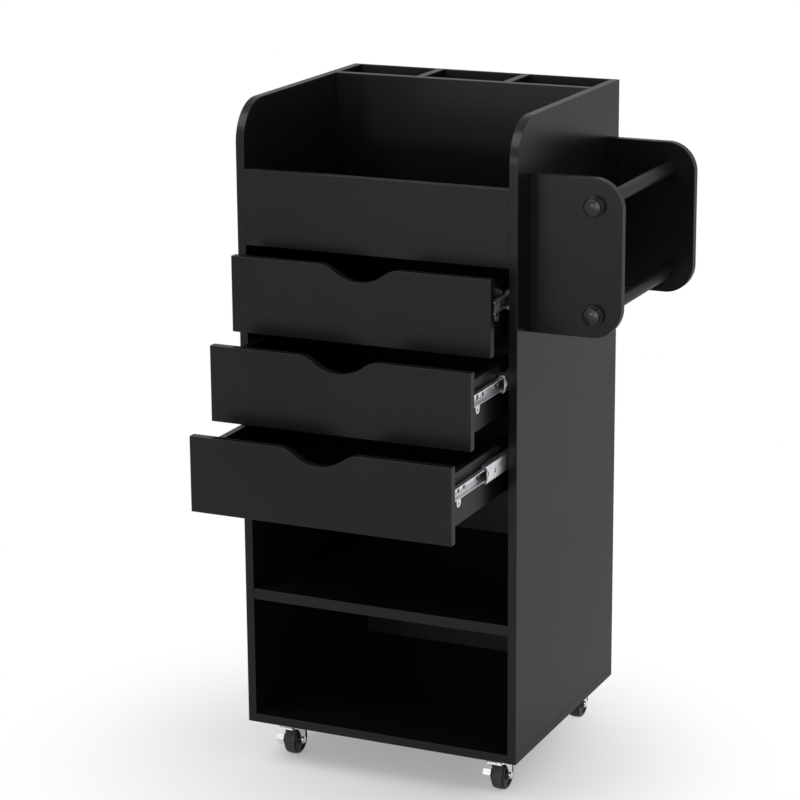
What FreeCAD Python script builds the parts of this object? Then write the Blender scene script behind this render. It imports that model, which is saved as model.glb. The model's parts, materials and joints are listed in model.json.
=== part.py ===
import FreeCAD, Part
import os
import Sketcher

# Rolling storage cart: board carcass with an open top tray, three drawers on ball slides,
# two open bays, a two-rod holder on the right side and four swivel casters.
# Millimetres. Sizes below are counted from the carcass: X from its left face, Y from its front
# towards the back, Z from the underside of its bottom board.

SIZES = {
    # carcass boards
    "carcass_width": 400.0,
    "carcass_depth": 366.0,
    "carcass_height": 866.0,
    "board": 12.0,
    "side_corner_radius": 55.0,
    "back_sheet": 4.0,
    "lower_bay_height": 168.0,
    "shelf_thickness": 15.0,
    "shelf_setback": 1.0,
    "rail_setback": 36.0,
    "rail_height": 30.0,
    # top tray and the three cells behind it
    "tray_front_height": 102.0,
    "partition_setback": 279.0,
    # drawers: fronts, boxes and how far each stands open at rest
    "front_side_gap": 4.0,
    "front_height": 102.0,
    "lower_front_bottom": 358.0,
    "drawer_pitch": 106.0,
    "upper_pull": 50.0,
    "middle_pull": 114.0,
    "lower_pull": 175.0,
    "scoop_half_width": 57.5,
    "scoop_depth": 20.0,
    "drawer_side_thickness": 10.0,
    "drawer_side_height": 70.0,
    "drawer_side_rise": 15.5,
    "drawer_length": 300.0,
    "drawer_bottom_sheet": 4.0,
    "groove_depth": 5.0,
    "groove_rise": 6.0,
    "groove_clearance": 0.1,
    # ball slides
    "slide_space": 13.0,
    "slide_rise": 62.3,
    "slide_sheet": 1.1,
    "slide_clearance": 0.3,
    "cabinet_slide_height": 27.0,
    "cabinet_slide_reach": 10.0,
    "cabinet_slide_setback": 13.5,
    "slide_length": 300.0,
    "middle_slide_web_gap": 0.8,
    "middle_slide_reach": 9.4,
    "middle_slide_setback": 36.0,
    "middle_slide_length": 265.5,
    "upper_slide_lead": 0.0,
    "middle_slide_lead": -12.0,
    "lower_slide_lead": 15.0,
    "cage_web": 0.6,
    "cage_length": 100.0,
    "cage_setback": 4.0,
    "drawer_slide_height": 16.0,
    "drawer_slide_reach": 8.4,
    "slide_ear_setback": 23.0,
    "slide_ear_width": 13.0,
    "slide_ear_drop": 15.5,
    # side holder
    "holder_reach": 125.5,
    "holder_bottom": 586.0,
    "holder_height": 207.0,
    "holder_corner_radius": 40.0,
    "holder_setback": 40.0,
    "rod_length": 269.0,
    "rod_radius": 8.75,
    "rod_inset": 37.0,
    "upper_rod_drop": 36.0,
    "lower_rod_rise": 29.5,
    "knob_flange_radius": 13.6,
    "knob_flange_height": 5.0,
    "knob_neck_radius": 12.0,
    "knob_neck_height": 1.2,
    "knob_radius": 13.0,
    "knob_rim_height": 10.5,
    "knob_height": 12.5,
    "stud_radius": 3.0,
    "stud_length": 30.0,
    "cover_radius": 4.0,
    "cover_height": 1.2,
    "cover_inset": 22.0,
    # casters
    "caster_height": 62.3,
    "caster_side_inset": 43.0,
    "caster_end_inset": 40.5,
    "caster_trail": 17.5,
    "plate_margin": 5.5,
    "plate_thickness": 2.5,
    "screw_span_width": 33.0,
    "screw_span_depth": 29.0,
    "screw_radius": 2.0,
    "screw_head_radius": 3.6,
    "screw_head_height": 1.8,
    "screw_bite": 9.5,
    "race_radius": 11.0,
    "crown_drop": 12.0,
    "kingpin_radius": 4.0,
    "kingpin_head_radius": 6.5,
    "kingpin_head_height": 2.0,
    "fork_sheet": 2.0,
    "fork_corner_radius": 6.0,
    "fork_front": 14.0,
    "fork_shoulder": 4.0,
    "axle_boss_radius": 5.5,
    "axle_radius": 3.0,
    "axle_head_radius": 4.6,
    "axle_head_height": 1.6,
    "wheel_radius": 21.0,
    "wheel_width": 18.5,
    "wheel_side_gap": 1.0,
    "wheel_shoulder": 4.0,
    "wheel_recess": 1.6,
    "hub_radius": 7.5,
    "rim_inner_radius": 14.0,
    "brake_sheet": 1.5,
    "brake_ring_radius": 7.0,
    "brake_arm_reach": 22.0,
    "brake_arm_height": 9.0,
    "pedal_width": 12.0,
    "pedal_depth": 4.0,
    "pedal_fall": 6.5,
    "pedal_drop": 10.5,
    # fits and edges
    "edge_round": 0.6,
    "running_clearance": 0.06,
    "hole_clearance": 0.1,
    "face_clearance": 0.15,
    "cut_overrun": 1.0,
}

# The hollow of a finger scoop takes this share of its half width, the rounded lips the rest.
SCOOP_HOLLOW_SHARE = 0.6
# Equal cells behind the tray, and drawers under it.
CELLS = 3
DRAWERS = 3

doc = FreeCAD.newDocument("storage_cart")
sheet = doc.addObject("Spreadsheet::Sheet", "Sizes")
for row, (alias, number) in enumerate(SIZES.items(), start=1):
    sheet.set("A%d" % row, alias)
    sheet.set("B%d" % row, str(number))
    sheet.setAlias("B%d" % row, alias)
doc.recompute()


class Size:
    """A length with the sheet expression that drives it."""

    def __init__(self, text, number):
        self.text = text
        self.number = number

    def __add__(self, other):
        return joined(self, "+", other)

    def __radd__(self, other):
        return joined(other, "+", self)

    def __sub__(self, other):
        return joined(self, "-", other)

    def __rsub__(self, other):
        return joined(other, "-", self)

    def __mul__(self, other):
        return joined(self, "*", other)

    def __rmul__(self, other):
        return joined(other, "*", self)

    def __truediv__(self, other):
        return joined(self, "/", other)

    def __neg__(self):
        return joined(0, "-", self)


def as_size(value):
    return value if isinstance(value, Size) else Size(repr(float(value)), float(value))


def joined(left, sign, right):
    a, b = as_size(left), as_size(right)
    number = {
        "+": a.number + b.number,
        "-": a.number - b.number,
        "*": a.number * b.number,
    }.get(sign)
    if number is None:
        number = a.number / b.number
    return Size("(%s %s %s)" % (a.text, sign, b.text), number)


class Sheet:
    """Every cell of the sheet by its alias."""

    def __getattr__(self, alias):
        return Size("Sizes." + alias, SIZES[alias])


s = Sheet()
ZERO = Size("0", 0.0)

# The model's origin is on the floor under the middle of the whole cart at rest.
shift = (
    -(s.carcass_width + s.holder_reach) / 2,
    (s.lower_pull - s.carcass_depth) / 2,
    s.caster_height,
)

parts = []


def bind(thing, prop, size):
    thing.setExpression(prop, as_size(size).text)


def place(thing, corner):
    for axis, at, moved in zip("xyz", corner, shift):
        bind(thing, "Placement.Base." + axis, at + moved)


def node(thing, label):
    thing.Label = label
    parts.append(thing)
    return thing


def box(name, size, corner):
    thing = doc.addObject("Part::Box", name)
    for prop, length in zip(("Length", "Width", "Height"), size):
        bind(thing, prop, length)
    place(thing, corner)
    return thing


TURNS = {
    "z": FreeCAD.Rotation(),
    "x": FreeCAD.Rotation(FreeCAD.Vector(0, 1, 0), 90),
    "y": FreeCAD.Rotation(FreeCAD.Vector(1, 0, 0), -90),
}


def rod(name, radius, length, start, axis="z"):
    thing = doc.addObject("Part::Cylinder", name)
    bind(thing, "Radius", radius)
    bind(thing, "Height", length)
    thing.Placement = FreeCAD.Placement(FreeCAD.Vector(), TURNS[axis])
    place(thing, start)
    return thing


def cut(name, base, tool):
    thing = doc.addObject("Part::Cut", name)
    thing.Base = base
    thing.Tool = tool
    return thing


def fuse(name, pieces):
    thing = doc.addObject("Part::MultiFuse", name)
    thing.Shapes = pieces
    thing.Refine = True
    return thing


def group(name, pieces):
    thing = doc.addObject("Part::Compound", name)
    thing.Links = pieces
    return thing


def line(end):
    return end, None, False


def arc(end, centre, clockwise=False):
    return end, centre, clockwise


def vector(point):
    return FreeCAD.Vector(as_size(point[0]).number, as_size(point[1]).number, 0)


def pin_point(sketch, geometry, position, point):
    for kind, size in zip(("DistanceX", "DistanceY"), point):
        tag = "p%d_%d%s" % (geometry, position, kind[-1])
        index = sketch.addConstraint(
            Sketcher.Constraint(kind, -1, 1, geometry, position, as_size(size).number)
        )
        sketch.renameConstraint(index, tag)
        bind(sketch, "Constraints." + tag, size)


def pin_centre(sketch, geometry, begin, end, centre):
    # The centre can only slide square to the chord, so one coordinate settles it.
    chord = vector(end) - vector(begin)
    axis = 1 if abs(chord.x) > abs(chord.y) else 0
    kind = ("DistanceX", "DistanceY")[axis]
    tag = "c%d" % geometry
    index = sketch.addConstraint(
        Sketcher.Constraint(kind, -1, 1, geometry, 3, as_size(centre[axis]).number)
    )
    sketch.renameConstraint(index, tag)
    bind(sketch, "Constraints." + tag, centre[axis])


def draw_loop(sketch, start, path):
    """Closed outline: every corner and arc centre is tied to the sheet."""
    first = len(sketch.Geometry)
    ends = []
    begin = start
    for end, centre, clockwise in path:
        a, b = vector(begin), vector(end)
        if centre is None:
            index = sketch.addGeometry(Part.LineSegment(a, b), False)
            ends.append((index, 1, 2))
        else:
            c = vector(centre)
            circle = Part.Circle(c, FreeCAD.Vector(0, 0, 1), (a - c).Length)
            turn = (b, a) if clockwise else (a, b)
            angles = [circle.parameter(point) for point in turn]
            index = sketch.addGeometry(Part.ArcOfCircle(circle, angles[0], angles[1]), False)
            ends.append((index, 2, 1) if clockwise else (index, 1, 2))
        begin = end
    for k, (index, head, tail) in enumerate(ends):
        after = ends[(k + 1) % len(ends)]
        sketch.addConstraint(Sketcher.Constraint("Coincident", index, tail, after[0], after[1]))
    begin = start
    for k, (end, centre, clockwise) in enumerate(path):
        pin_point(sketch, ends[k][0], ends[k][2], end)
        if centre is not None:
            pin_centre(sketch, first + k, begin, end, centre)
        begin = end


def draw_circle(sketch, centre, radius):
    circle = Part.Circle(vector(centre), FreeCAD.Vector(0, 0, 1), radius.number)
    index = sketch.addGeometry(circle, False)
    pin_point(sketch, index, 3, centre)
    tag = "r%d" % index
    sketch.renameConstraint(
        sketch.addConstraint(Sketcher.Constraint("Radius", index, radius.number)), tag
    )
    bind(sketch, "Constraints." + tag, radius)


def new_sketch(body, plane):
    sketch = body.newObject("Sketcher::SketchObject", body.Name + "_sketch")
    origin = [f for f in body.Origin.OriginFeatures if f.Role == plane][0]
    sketch.AttachmentSupport = [(origin, "")]
    sketch.MapMode = "FlatFace"
    return sketch


def soften(body, feature):
    # Every edge of the piece is eased by the same small radius.
    doc.recompute()
    ease = body.newObject("PartDesign::Fillet", body.Name + "_ease")
    ease.Base = (feature, [""])
    ease.UseAllEdges = True
    bind(ease, "Radius", s.edge_round)


def padded(name, plane, start, path, length, corner, holes=(), backwards=False, eased=False):
    """Outline on one of the body's planes, given a thickness."""
    body = doc.addObject("PartDesign::Body", name)
    sketch = new_sketch(body, plane)
    draw_loop(sketch, start, path)
    for centre, radius in holes:
        draw_circle(sketch, centre, radius)
    pad = body.newObject("PartDesign::Pad", name + "_pad")
    pad.Profile = sketch
    bind(pad, "Length", length)
    pad.Reversed = backwards
    if eased:
        soften(body, pad)
    place(body, corner)
    return body


def board(name, size, corner):
    """Rectangular board with eased edges."""
    path = [
        line((size[0], ZERO)),
        line((size[0], size[1])),
        line((ZERO, size[1])),
        line((ZERO, ZERO)),
    ]
    return padded(name, "XY_Plane", (ZERO, ZERO), path, size[2], corner, eased=True)


def turned(name, plane, axis, start, path, corner, rotation=None):
    """Half section spun round one axis of its sketch."""
    body = doc.addObject("PartDesign::Body", name)
    sketch = new_sketch(body, plane)
    draw_loop(sketch, start, path)
    spin = body.newObject("PartDesign::Revolution", name + "_spin")
    spin.Profile = sketch
    spin.ReferenceAxis = (sketch, [axis])
    spin.Angle = 360
    if rotation is not None:
        body.Placement = FreeCAD.Placement(FreeCAD.Vector(), rotation)
    place(body, corner)
    return body


# carcass
inner_width = s.carcass_width - 2 * s.board
right_inner = s.carcass_width - s.board
back_front = s.carcass_depth - s.back_sheet
tray_bottom = s.lower_front_bottom + DRAWERS * s.drawer_pitch

caster_xs = {"left": s.caster_side_inset, "right": s.carcass_width - s.caster_side_inset}
caster_ys = {"front": s.caster_end_inset, "rear": s.carcass_depth - s.caster_end_inset}
casters = {
    end + "_" + side: (caster_xs[side], caster_ys[end]) for end in caster_ys for side in caster_xs
}
screw_offsets = [
    (i * s.screw_span_width / 2, j * s.screw_span_depth / 2) for i in (-1, 1) for j in (-1, 1)
]


def make_bottom_board():
    slab = board("bottom_slab", (s.carcass_width, s.carcass_depth, s.board), (ZERO, ZERO, ZERO))
    drills = []
    for x, y in casters.values():
        for i, j in screw_offsets:
            at = (x + i, y + j, -s.cut_overrun)
            length = s.screw_bite + s.cut_overrun + s.face_clearance
            drills.append(rod("pilot", s.screw_radius + s.hole_clearance, length, at))
    node(cut("bottom_board", slab, fuse("pilots", drills)), "bottom_board")


def make_side_panel(label, x):
    height = s.carcass_height - s.board
    turn = s.side_corner_radius
    path = [
        line((s.carcass_depth, ZERO)),
        line((s.carcass_depth, height)),
        line((turn, height)),
        arc((ZERO, height - turn), (turn, height - turn)),
        line((ZERO, ZERO)),
    ]
    panel = padded(label, "YZ_Plane", (ZERO, ZERO), path, s.board, (x, ZERO, s.board),
                   eased=True)
    node(panel, label)


def make_carcass():
    make_bottom_board()
    make_side_panel("left_side_panel", ZERO)
    make_side_panel("right_side_panel", right_inner)
    back_height = s.carcass_height - s.board
    back = board("back", (inner_width, s.back_sheet, back_height), (s.board, back_front, s.board))
    node(back, "back_panel")
    shelf_size = (inner_width, back_front - s.shelf_setback, s.shelf_thickness)
    shelf_at = (s.board, s.shelf_setback, s.board + s.lower_bay_height)
    shelf = board("shelf", shelf_size, shelf_at)
    node(shelf, "middle_shelf")
    # A rail lies midway between one drawer box's top and the next one's underside.
    box_top = s.lower_front_bottom + s.drawer_side_rise + s.drawer_side_height
    first = box_top + (s.drawer_pitch - s.drawer_side_height - s.rail_height) / 2
    for label, z in (("lower_cross_rail", first), ("upper_cross_rail", first + s.drawer_pitch)):
        size = (inner_width, s.board, s.rail_height)
        node(board(label, size, (s.board, s.rail_setback, z)), label)


def make_tray():
    floor_top = tray_bottom + s.board
    wall_height = s.carcass_height - floor_top
    floor = board("tray_floor_board", (inner_width, back_front - s.board, s.board),
                (s.board, s.board, tray_bottom))
    node(floor, "tray_floor")
    front = board("tray_front", (inner_width, s.board, s.tray_front_height),
                (s.board, ZERO, tray_bottom))
    node(front, "tray_front_board")
    partition = board("partition", (inner_width, s.board, wall_height),
                    (s.board, s.partition_setback, floor_top))
    node(partition, "tray_partition")
    cell_front = s.partition_setback + s.board
    cell_width = (inner_width - (CELLS - 1) * s.board) / CELLS
    for k, label in enumerate(("left_cell_divider", "right_cell_divider"), start=1):
        x = s.board + k * cell_width + (k - 1) * s.board
        size = (s.board, back_front - cell_front, wall_height)
        node(board(label, size, (x, cell_front, floor_top)), label)


# side holder
holder_top = s.holder_bottom + s.holder_height
rod_x = s.carcass_width + s.holder_reach - s.rod_inset
rod_heights = {
    "upper": holder_top - s.upper_rod_drop,
    "lower": s.holder_bottom + s.lower_rod_rise,
}
front_plate_back = s.holder_setback + s.board
rear_plate_front = front_plate_back + s.rod_length


def make_holder_plate(label, y):
    reach, height, turn = s.holder_reach, s.holder_height, s.holder_corner_radius
    path = [
        line((reach - turn, ZERO)),
        arc((reach, turn), (reach - turn, turn)),
        line((reach, height - turn)),
        arc((reach - turn, height), (reach - turn, height - turn)),
        line((ZERO, height)),
        line((ZERO, ZERO)),
    ]
    holes = [
        ((rod_x - s.carcass_width, z - s.holder_bottom), s.stud_radius + s.hole_clearance)
        for z in rod_heights.values()
    ]
    corner = (s.carcass_width, y, s.holder_bottom)
    plate = padded(label, "XZ_Plane", (ZERO, ZERO), path, s.board, corner, holes,
                   backwards=True, eased=True)
    node(plate, label)


def make_holder_rod(label, z):
    bar = rod(label + "_bar", s.rod_radius, s.rod_length, (rod_x, front_plate_back, z), "y")
    depth = s.stud_length - s.board + s.face_clearance
    radius = s.stud_radius + s.hole_clearance
    length = depth + s.cut_overrun
    front = rod(label + "_bore", radius, length, (rod_x, front_plate_back - s.cut_overrun, z), "y")
    rear = rod(label + "_bore", radius, length, (rod_x, rear_plate_front - depth, z), "y")
    node(cut(label, bar, fuse(label + "_bores", [front, rear])), label)


def make_knob(corner, rotation=None):
    # Domed head, a narrow neck and a flange, with the stud that draws the rod to the plate.
    rise = s.knob_height - s.knob_rim_height
    dome = (s.knob_radius * s.knob_radius + rise * rise) / (2 * rise)
    head = s.knob_flange_height + s.knob_neck_height
    path = [
        line((s.stud_radius, s.stud_length)),
        line((s.stud_radius, ZERO)),
        line((s.knob_flange_radius, ZERO)),
        line((s.knob_flange_radius, -s.knob_flange_height)),
        line((s.knob_neck_radius, -s.knob_flange_height)),
        line((s.knob_neck_radius, -head)),
        line((s.knob_radius, -head)),
        line((s.knob_radius, -s.knob_rim_height)),
        arc((ZERO, -s.knob_height), (ZERO, dome - s.knob_height), clockwise=True),
        line((ZERO, s.stud_length)),
    ]
    return turned("knob", "XY_Plane", "V_Axis", (ZERO, s.stud_length), path, corner, rotation)


def make_holder():
    make_holder_plate("holder_front_plate", s.holder_setback)
    make_holder_plate("holder_rear_plate", rear_plate_front)
    back_face = rear_plate_front + s.board
    half_turn = FreeCAD.Rotation(FreeCAD.Vector(0, 0, 1), 180)
    knobs, covers = [], []
    for name, z in rod_heights.items():
        make_holder_rod(name + "_holder_rod", z)
        knobs.append(make_knob((rod_x, s.holder_setback, z)))
        knobs.append(make_knob((rod_x, back_face, z), half_turn))
        for y in (front_plate_back, rear_plate_front - s.cover_height):
            at = (s.carcass_width + s.cover_inset, y, z)
            covers.append(rod("cover", s.cover_radius, s.cover_height, at, "y"))
    node(group("holder_knobs", knobs), "holder_knobs")
    node(group("cam_covers", covers), "cam_covers")


# drawers and their slides
drawers = {
    "upper": (s.lower_front_bottom + (DRAWERS - 1) * s.drawer_pitch, s.upper_pull),
    "middle": (s.lower_front_bottom + s.drawer_pitch, s.middle_pull),
    "lower": (s.lower_front_bottom, s.lower_pull),
}
# How far each pair of middle members floats ahead of half the drawer's way.
slide_leads = {
    "upper": s.upper_slide_lead,
    "middle": s.middle_slide_lead,
    "lower": s.lower_slide_lead,
}
box_left = s.board + s.slide_space
box_width = s.carcass_width - 2 * box_left
cabinet_half = s.cabinet_slide_height / 2
middle_half = cabinet_half - s.slide_sheet - s.slide_clearance
drawer_half = s.drawer_slide_height / 2
middle_web = s.slide_sheet + s.middle_slide_web_gap
cage_start = middle_web + s.slide_sheet + s.slide_clearance


def make_channel(name, side, web, opening, half, flange, length, front, z):
    """C-shaped strip along Y: web and opening are distances from the side panel's inner face."""
    thickness = web[1]
    start = web[0]
    sign = 1 if side == "left" else -1
    inward = 1 if opening.number > start.number else -1
    across = [sign * at for at in (start, start + inward * thickness, opening)]
    path = [
        line((across[0], half)),
        line((across[2], half)),
        line((across[2], half - flange)),
        line((across[1], half - flange)),
        line((across[1], flange - half)),
        line((across[2], flange - half)),
        line((across[2], -half)),
        line((across[0], -half)),
    ]
    wall = s.board if side == "left" else right_inner
    begin = (across[0], -half)
    return padded(name, "XZ_Plane", begin, path, length, (wall, front, z), backwards=True)


def make_slides(name, bottom, pull):
    z = bottom + s.slide_rise
    middle_front = s.middle_slide_setback - pull / 2 - slide_leads[name]
    drawer_front = s.board - pull
    fixed, middles, cages, movers = [], [], [], []
    for side in ("left", "right"):
        fixed.append(make_channel(
            "cabinet_slide", side, (ZERO, s.slide_sheet), s.cabinet_slide_reach, cabinet_half,
            s.slide_sheet, s.slide_length, s.cabinet_slide_setback, z))
        middles.append(make_channel(
            "middle_slide", side, (middle_web, s.slide_sheet), middle_web + s.middle_slide_reach,
            middle_half, s.slide_sheet, s.middle_slide_length, middle_front, z))
        cage_half = middle_half - s.slide_sheet - s.slide_clearance
        cages.append(make_channel(
            "ball_cage", side, (cage_start, s.cage_web), middle_web + s.middle_slide_reach,
            cage_half, cage_half - drawer_half - s.slide_clearance, s.cage_length,
            middle_front + s.cage_setback, z))
        strip = make_channel(
            "drawer_slide", side, (s.slide_space, s.slide_sheet),
            s.slide_space - s.drawer_slide_reach, drawer_half, s.slide_sheet, s.drawer_length,
            drawer_front, z)
        ear_x = box_left - s.slide_sheet if side == "left" else s.carcass_width - box_left
        ear_size = (s.slide_sheet, s.slide_ear_width, s.slide_ear_drop + s.slide_sheet)
        ear_z = z - drawer_half - s.slide_ear_drop
        ear = box("slide_ear", ear_size, (ear_x, drawer_front + s.slide_ear_setback, ear_z))
        movers.append(fuse("drawer_slide_with_ear", [strip, ear]))
    node(group(name + "_middle_slides", middles), name + "_middle_slides")
    node(group(name + "_ball_cages", cages), name + "_ball_cages")
    node(group(name + "_drawer_slides", movers), name + "_drawer_slides")
    return fixed


def make_drawer_front(label, bottom, pull):
    # The scoop is a hollow between two rounded lips; hollow and lip meet on the chord.
    width = inner_width - 2 * s.front_side_gap
    height, reach, depth = s.front_height, s.scoop_half_width, s.scoop_depth
    middle = width / 2
    sweep = (reach * reach + depth * depth) / (2 * depth)
    hollow = SCOOP_HOLLOW_SHARE * sweep
    lip = sweep - hollow
    meet_x = SCOOP_HOLLOW_SHARE * reach
    meet_z = height - depth + SCOOP_HOLLOW_SHARE * depth
    path = [
        line((width, ZERO)),
        line((width, height)),
        line((middle + reach, height)),
        arc((middle + meet_x, meet_z), (middle + reach, height - lip)),
        arc((middle - meet_x, meet_z), (middle, height - depth + hollow), clockwise=True),
        arc((middle - reach, height), (middle - reach, height - lip)),
        line((ZERO, height)),
        line((ZERO, ZERO)),
    ]
    corner = (s.board + s.front_side_gap, -pull, bottom)
    front = padded(label, "XZ_Plane", (ZERO, ZERO), path, s.board, corner, backwards=True,
                   eased=True)
    node(front, label)


def make_drawer(name, bottom, pull):
    make_drawer_front(name + "_drawer_front", bottom, pull)
    front = s.board - pull
    side_z = bottom + s.drawer_side_rise
    groove_z = side_z + s.groove_rise
    wall = s.drawer_side_thickness
    sides = {"left": box_left, "right": box_left + box_width - wall}
    grooves = {
        "left": box_left + wall - s.groove_depth,
        "right": box_left + box_width - wall - s.cut_overrun,
    }
    for side, x in sides.items():
        label = "%s_drawer_%s_side" % (name, side)
        slab = board(label + "_slab", (wall, s.drawer_length, s.drawer_side_height),
                   (x, front, side_z))
        slot_size = (
            s.groove_depth + s.cut_overrun,
            s.drawer_length + 2 * s.cut_overrun,
            s.drawer_bottom_sheet + 2 * s.groove_clearance,
        )
        slot_at = (grooves[side], front - s.cut_overrun, groove_z - s.groove_clearance)
        node(cut(label, slab, box(label + "_groove", slot_size, slot_at)), label)
    inside = box_width - 2 * wall
    base_size = (
        inside + 2 * (s.groove_depth - s.groove_clearance),
        s.drawer_length,
        s.drawer_bottom_sheet,
    )
    base_x = box_left + wall - s.groove_depth + s.groove_clearance
    base = board(name + "_base", base_size, (base_x, front, groove_z))
    node(base, name + "_drawer_bottom")
    back_z = groove_z + s.drawer_bottom_sheet
    back_size = (inside, wall, side_z + s.drawer_side_height - back_z)
    back_at = (box_left + wall, front + s.drawer_length - wall, back_z)
    node(board(name + "_rear", back_size, back_at), name + "_drawer_back")


def make_drawers():
    fixed = []
    for name, (bottom, pull) in drawers.items():
        make_drawer(name, bottom, pull)
        fixed += make_slides(name, bottom, pull)
    node(group("cabinet_slides", fixed), "cabinet_slides")


# casters, counted down from the underside of the bottom board
axle_z = s.wheel_radius - s.caster_height
crown_under = -s.crown_drop - s.fork_sheet
fork_half = s.wheel_width / 2 + s.wheel_side_gap + s.fork_sheet
race_under = s.face_clearance - s.crown_drop


def make_caster_plate(x, y):
    half_x = s.screw_span_width / 2 + s.plate_margin
    half_y = s.screw_span_depth / 2 + s.plate_margin
    path = [
        line((half_x, -half_y)),
        line((half_x, half_y)),
        line((-half_x, half_y)),
        line((-half_x, -half_y)),
    ]
    holes = [(offset, s.screw_radius + s.hole_clearance) for offset in screw_offsets]
    corner = (x, y, -s.plate_thickness)
    flat = padded("caster_flat", "XY_Plane", (-half_x, -half_y), path, s.plate_thickness,
                  corner, holes)
    race_height = -s.plate_thickness - race_under
    race = rod("caster_race", s.race_radius, race_height, (x, y, race_under))
    bore_start = race_under - s.cut_overrun
    bore = rod("kingpin_bore", s.kingpin_radius + s.hole_clearance,
               2 * s.cut_overrun - race_under, (x, y, bore_start))
    return cut("caster_plate", fuse("caster_plate_race", [flat, race]), bore)


def make_kingpin(x, y):
    head_top = crown_under - s.face_clearance
    head = rod("kingpin_head", s.kingpin_head_radius, s.kingpin_head_height,
               (x, y, head_top - s.kingpin_head_height))
    stem = rod("kingpin_stem", s.kingpin_radius, -head_top, (x, y, head_top))
    return fuse("kingpin", [head, stem])


def make_screw(x, y):
    head = rod("screw_head", s.screw_head_radius, s.screw_head_height,
               (x, y, -s.plate_thickness - s.screw_head_height))
    shank = rod("screw_shank", s.screw_radius, s.plate_thickness + s.screw_bite,
                (x, y, -s.plate_thickness))
    return fuse("screw", [head, shank])


def make_fork(label, x, y):
    # Sheet folded to a U seen from the front, trimmed to a leg with a hollow front edge from the side.
    top, foot = -s.crown_drop, axle_z - s.axle_boss_radius
    turn, inner = s.fork_corner_radius, fork_half - s.fork_sheet
    bend = s.fork_corner_radius - s.fork_sheet
    u_path = [
        line((fork_half, top - turn)),
        arc((fork_half - turn, top), (fork_half - turn, top - turn)),
        line((turn - fork_half, top)),
        arc((-fork_half, top - turn), (turn - fork_half, top - turn)),
        line((-fork_half, foot)),
        line((-inner, foot)),
        line((-inner, top - turn)),
        arc((bend - inner, crown_under), (bend - inner, top - turn), clockwise=True),
        line((inner - bend, crown_under)),
        arc((inner, top - turn), (inner - bend, top - turn), clockwise=True),
        line((inner, foot)),
        line((fork_half, foot)),
    ]
    rear = s.caster_trail + s.axle_boss_radius
    length = s.fork_front + rear
    folded = padded(label + "_folded", "XZ_Plane", (fork_half, foot), u_path, length,
                    (x, y - s.fork_front, ZERO), backwards=True)
    shoulder, tip = top - s.fork_shoulder, s.caster_trail - s.axle_boss_radius
    hollow = tip - (shoulder - axle_z)
    leg_path = [
        line((-s.fork_front, shoulder)),
        line((hollow, shoulder)),
        arc((tip, axle_z), (hollow, axle_z), clockwise=True),
        arc((rear, axle_z), (s.caster_trail, axle_z)),
        line((rear, top)),
        line((-s.fork_front, top)),
    ]
    hole = ((s.caster_trail, axle_z), s.axle_radius + s.hole_clearance)
    trim = padded(label + "_trim", "YZ_Plane", (-s.fork_front, top), leg_path, 2 * fork_half,
                  (x - fork_half, y, ZERO), [hole])
    legs = doc.addObject("Part::Common", label + "_legs")
    legs.Base = folded
    legs.Tool = trim
    bore = rod(label + "_bore", s.kingpin_radius + s.running_clearance,
               s.fork_sheet + 2 * s.cut_overrun, (x, y, crown_under - s.cut_overrun))
    node(cut(label, legs, bore), label)


def make_axle(label, x, y, left_extra):
    left = x - fork_half - left_extra
    at = y + s.caster_trail
    shank = rod(label + "_shank", s.axle_radius, 2 * fork_half + left_extra, (left, at, axle_z), "x")
    heads = [
        rod(label + "_head", s.axle_head_radius, s.axle_head_height, (start, at, axle_z), "x")
        for start in (left - s.axle_head_height, x + fork_half)
    ]
    node(fuse(label, [shank] + heads), label)


def make_wheel(label, x, y):
    half, bore = s.wheel_width / 2, s.axle_radius + s.running_clearance
    hub, rim, outer = s.hub_radius, s.rim_inner_radius, s.wheel_radius
    round_off, dish = s.wheel_shoulder, s.wheel_width / 2 - s.wheel_recess
    path = [
        line((half, bore)),
        line((half, hub)),
        line((dish, hub)),
        line((dish, rim)),
        line((half, rim)),
        line((half, outer - round_off)),
        arc((half - round_off, outer), (half - round_off, outer - round_off)),
        line((round_off - half, outer)),
        arc((-half, outer - round_off), (round_off - half, outer - round_off)),
        line((-half, rim)),
        line((-dish, rim)),
        line((-dish, hub)),
        line((-half, hub)),
        line((-half, bore)),
    ]
    corner = (x, y + s.caster_trail, axle_z)
    wheel = turned(label, "XZ_Plane", "H_Axis", (-half, bore), path, corner)
    node(wheel, label)


def make_brake(label, x, y):
    # Ring on the axle beside the left leg, an arm to the front and a sloping pedal with a front lip.
    left = x - fork_half - s.face_clearance - s.brake_sheet
    at = y + s.caster_trail
    ring = rod(label + "_ring", s.brake_ring_radius, s.brake_sheet, (left, at, axle_z), "x")
    head, brow = s.brake_arm_height, s.brake_arm_height - s.pedal_fall
    nose, heel = -s.brake_arm_reach, s.pedal_depth - s.brake_arm_reach
    arm_path = [
        line((ZERO, head)),
        line((heel, head)),
        line((nose, brow)),
        line((nose, ZERO)),
        line((ZERO, ZERO)),
    ]
    arm = padded(label + "_arm", "YZ_Plane", (ZERO, ZERO), arm_path, s.brake_sheet,
                 (left, at, axle_z))
    pedal_path = [
        line((nose, brow)),
        line((nose, brow - s.pedal_drop)),
        line((nose + s.brake_sheet, brow - s.pedal_drop)),
        line((nose + s.brake_sheet, brow - s.brake_sheet)),
        line((heel, head - s.brake_sheet)),
        line((heel, head)),
    ]
    pedal = padded(label + "_pedal", "YZ_Plane", (heel, head), pedal_path, s.pedal_width,
                   (left + s.brake_sheet - s.pedal_width, at, axle_z))
    bore = rod(label + "_bore", s.axle_radius + s.running_clearance,
               s.brake_sheet + 2 * s.cut_overrun, (left - s.cut_overrun, at, axle_z), "x")
    lever = fuse(label + "_lever", [ring, arm, pedal])
    node(cut(label, lever, bore), label)


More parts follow.
